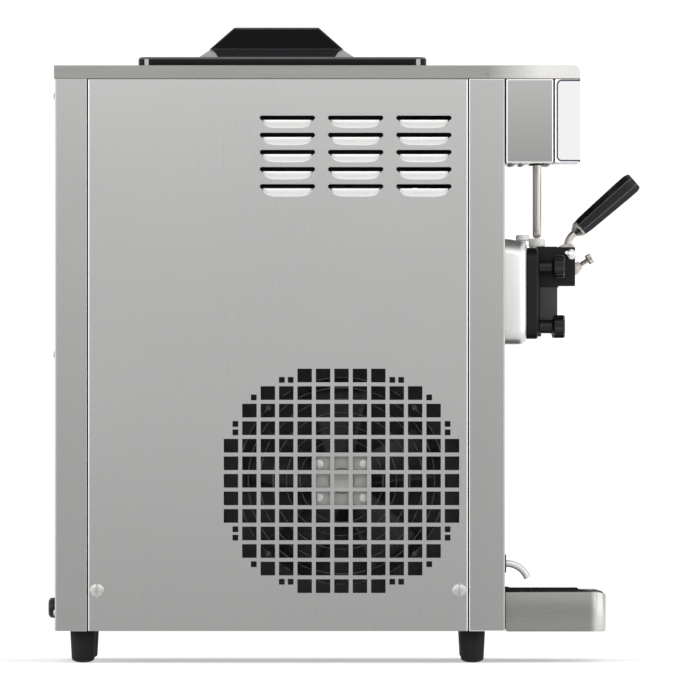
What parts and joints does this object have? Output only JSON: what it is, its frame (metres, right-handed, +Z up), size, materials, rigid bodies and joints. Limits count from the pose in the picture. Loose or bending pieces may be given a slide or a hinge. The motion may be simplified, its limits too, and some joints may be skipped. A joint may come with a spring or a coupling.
{
  "type": "soft-serve ice cream machine",
  "caption": "Countertop soft-serve ice cream machine in steel, with mix hoppers under lids, freezing cylinders, a dispensing head with draw levers, and a drip tray.",
  "frame": {"origin": "on the counter, under the middle of the machine's bounding box", "axes": "+Z up, -Y out of the front where the levers are, -X to the left as seen from the front"},
  "size_m": [0.544, 0.712, 0.7638],
  "materials": {
    "panel_steel": "brushed stainless steel",
    "cover_steel": "brushed stainless steel",
    "polished_steel": "polished stainless steel",
    "galvanised": "galvanised steel sheet",
    "cast_alloy": "as cast",
    "black_plastic": "moulded, satin",
    "head_plastic": "machined, matt",
    "white_plastic": "moulded, satin",
    "display_plastic": "glossy film",
    "rubber": "matt",
    "black_enamel": "black stove enamel"
  },
  "bodies": {
    "machine": {"base_pan": "galvanised", "shelf": "galvanised", "left_side_panel": "panel_steel", "right_side_panel": "panel_steel", "rear_panel": "panel_steel", "front_panel": "panel_steel", "top_cover": "cover_steel", "front_housing": "panel_steel", "display_cover": "white_plastic", "display_panel": "display_plastic", "hopper_left": "polished_steel", "hopper_right": "polished_steel", "cylinder_left": "polished_steel", "cylinder_right": "polished_steel", "gearbox_left": "cast_alloy", "gearbox_right": "cast_alloy", "drive_motor_left": "black_enamel", "drive_motor_right": "black_enamel", "compressor": "black_enamel", "condenser": "galvanised", "fan_guard": "black_enamel", "fan_motor": "cast_alloy", "control_box": "galvanised", "cylinder_shroud": "polished_steel", "dispensing_head": "head_plastic", "pivot_rod": "polished_steel", "drip_spout": "white_plastic", "foot_front_left": "rubber", "foot_front_right": "rubber", "foot_rear_left": "rubber", "foot_rear_right": "rubber", "cable_gland": "black_plastic"},
    "left_lever": {"lever_left": "polished_steel", "grip_left": "black_plastic"},
    "centre_lever": {"lever_centre": "polished_steel", "grip_centre": "black_plastic"},
    "right_lever": {"lever_right": "polished_steel", "grip_right": "black_plastic"},
    "left_plunger": {"plunger_left": "white_plastic"},
    "centre_plunger": {"plunger_centre": "white_plastic"},
    "right_plunger": {"plunger_right": "white_plastic"},
    "left_push_rod": {"push_rod_left": "polished_steel"},
    "centre_push_rod": {"push_rod_centre": "polished_steel"},
    "right_push_rod": {"push_rod_right": "polished_steel"},
    "left_flow_screw": {"flow_screw_left": "polished_steel"},
    "centre_flow_screw": {"flow_screw_centre": "polished_steel"},
    "right_flow_screw": {"flow_screw_right": "polished_steel"},
    "upper_left_knob": {"knob_upper_left": "black_plastic"},
    "upper_right_knob": {"knob_upper_right": "black_plastic"},
    "lower_left_knob": {"knob_lower_left": "black_plastic"},
    "lower_right_knob": {"knob_lower_right": "black_plastic"},
    "left_beater": {"beater_left": "white_plastic"},
    "right_beater": {"beater_right": "white_plastic"},
    "fan": {"fan_blade": "black_plastic"},
    "left_lid": {"lid_left": "black_plastic"},
    "right_lid": {"lid_right": "black_plastic"},
    "left_bleed_plug": {"bleed_plug_left": "white_plastic"},
    "right_bleed_plug": {"bleed_plug_right": "white_plastic"},
    "tray": {"drip_tray": "cover_steel"},
    "rack": {"drip_rack": "black_plastic"}
  },
  "joints": [
    {"name": "left_lever_pull", "type": "hinge", "parent": "machine", "child": "left_lever", "pos_m": [-0.08, -0.2724, 0.4906], "axis": [1, 0, 0], "range_deg": [0, 35]},
    {"name": "centre_lever_pull", "type": "hinge", "parent": "machine", "child": "centre_lever", "pos_m": [0, -0.2724, 0.4906], "axis": [1, 0, 0], "range_deg": [0, 35]},
    {"name": "right_lever_pull", "type": "hinge", "parent": "machine", "child": "right_lever", "pos_m": [0.08, -0.2724, 0.4906], "axis": [1, 0, 0], "range_deg": [0, 35]},
    {"name": "left_plunger_rise", "type": "slide", "parent": "machine", "child": "left_plunger", "axis": [0, 0, 1], "range_m": [0, 0.0242]},
    {"name": "centre_plunger_rise", "type": "slide", "parent": "machine", "child": "centre_plunger", "axis": [0, 0, 1], "range_m": [0, 0.0242]},
    {"name": "right_plunger_rise", "type": "slide", "parent": "machine", "child": "right_plunger", "axis": [0, 0, 1], "range_m": [0, 0.0242]},
    {"name": "left_push_rod_rise", "type": "slide", "parent": "machine", "child": "left_push_rod", "axis": [0, 0, 1], "range_m": [0, 0.0242]},
    {"name": "centre_push_rod_rise", "type": "slide", "parent": "machine", "child": "centre_push_rod", "axis": [0, 0, 1], "range_m": [0, 0.0242]},
    {"name": "right_push_rod_rise", "type": "slide", "parent": "machine", "child": "right_push_rod", "axis": [0, 0, 1], "range_m": [0, 0.0242]},
    {"name": "left_flow_screw_turn", "type": "hinge", "parent": "machine", "child": "left_flow_screw", "pos_m": [-0.08, -0.2816, 0.4764], "axis": [0, -0.8508, 0.5255], "continuous": true},
    {"name": "centre_flow_screw_turn", "type": "hinge", "parent": "machine", "child": "centre_flow_screw", "pos_m": [0, -0.2816, 0.4764], "axis": [0, -0.8508, 0.5255], "continuous": true},
    {"name": "right_flow_screw_turn", "type": "hinge", "parent": "machine", "child": "right_flow_screw", "pos_m": [0.08, -0.2816, 0.4764], "axis": [0, -0.8508, 0.5255], "continuous": true},
    {"name": "upper_left_knob_turn", "type": "hinge", "parent": "machine", "child": "upper_left_knob", "pos_m": [-0.152, -0.2339, 0.4758], "axis": [0, -1, 0], "continuous": true},
    {"name": "upper_right_knob_turn", "type": "hinge", "parent": "machine", "child": "upper_right_knob", "pos_m": [0.152, -0.2339, 0.4758], "axis": [0, -1, 0], "continuous": true},
    {"name": "lower_left_knob_turn", "type": "hinge", "parent": "machine", "child": "lower_left_knob", "pos_m": [-0.152, -0.2339, 0.4036], "axis": [0, -1, 0], "continuous": true},
    {"name": "lower_right_knob_turn", "type": "hinge", "parent": "machine", "child": "lower_right_knob", "pos_m": [0.152, -0.2339, 0.4036], "axis": [0, -1, 0], "continuous": true},
    {"name": "left_beater_turn", "type": "hinge", "parent": "machine", "child": "left_beater", "pos_m": [-0.08, 0, 0.445], "axis": [0, 1, 0], "continuous": true},
    {"name": "right_beater_turn", "type": "hinge", "parent": "machine", "child": "right_beater", "pos_m": [0.08, 0, 0.445], "axis": [0, 1, 0], "continuous": true},
    {"name": "fan_turn", "type": "hinge", "parent": "machine", "child": "fan", "pos_m": [-0.199, 0.0037, 0.2184], "axis": [1, 0, 0], "continuous": true},
    {"name": "left_lid_lift", "type": "slide", "parent": "machine", "child": "left_lid", "axis": [0, 0, 1], "range_m": [0, 0.25]},
    {"name": "right_lid_lift", "type": "slide", "parent": "machine", "child": "right_lid", "axis": [0, 0, 1], "range_m": [0, 0.25]},
    {"name": "left_bleed_plug_lift", "type": "slide", "parent": "machine", "child": "left_bleed_plug", "axis": [0, 0, 1], "range_m": [0, 0.03]},
    {"name": "right_bleed_plug_lift", "type": "slide", "parent": "machine", "child": "right_bleed_plug", "axis": [0, 0, 1], "range_m": [0, 0.03]},
    {"name": "tray_pull", "type": "slide", "parent": "machine", "child": "tray", "axis": [0, -1, 0], "range_m": [0, 0.15]},
    {"name": "rack_lift", "type": "slide", "parent": "tray", "child": "rack", "axis": [0, 0, 1], "range_m": [0, 0.01]}
  ],
  "couplings": [
    {"joint": "left_plunger_rise", "follows": "left_lever_pull", "m_per_rad": 0.0393},
    {"joint": "centre_plunger_rise", "follows": "centre_lever_pull", "m_per_rad": 0.0393},
    {"joint": "right_plunger_rise", "follows": "right_lever_pull", "m_per_rad": 0.0393},
    {"joint": "left_push_rod_rise", "follows": "left_lever_pull", "m_per_rad": 0.0393},
    {"joint": "centre_push_rod_rise", "follows": "centre_lever_pull", "m_per_rad": 0.0393},
    {"joint": "right_push_rod_rise", "follows": "right_lever_pull", "m_per_rad": 0.0393}
  ]
}
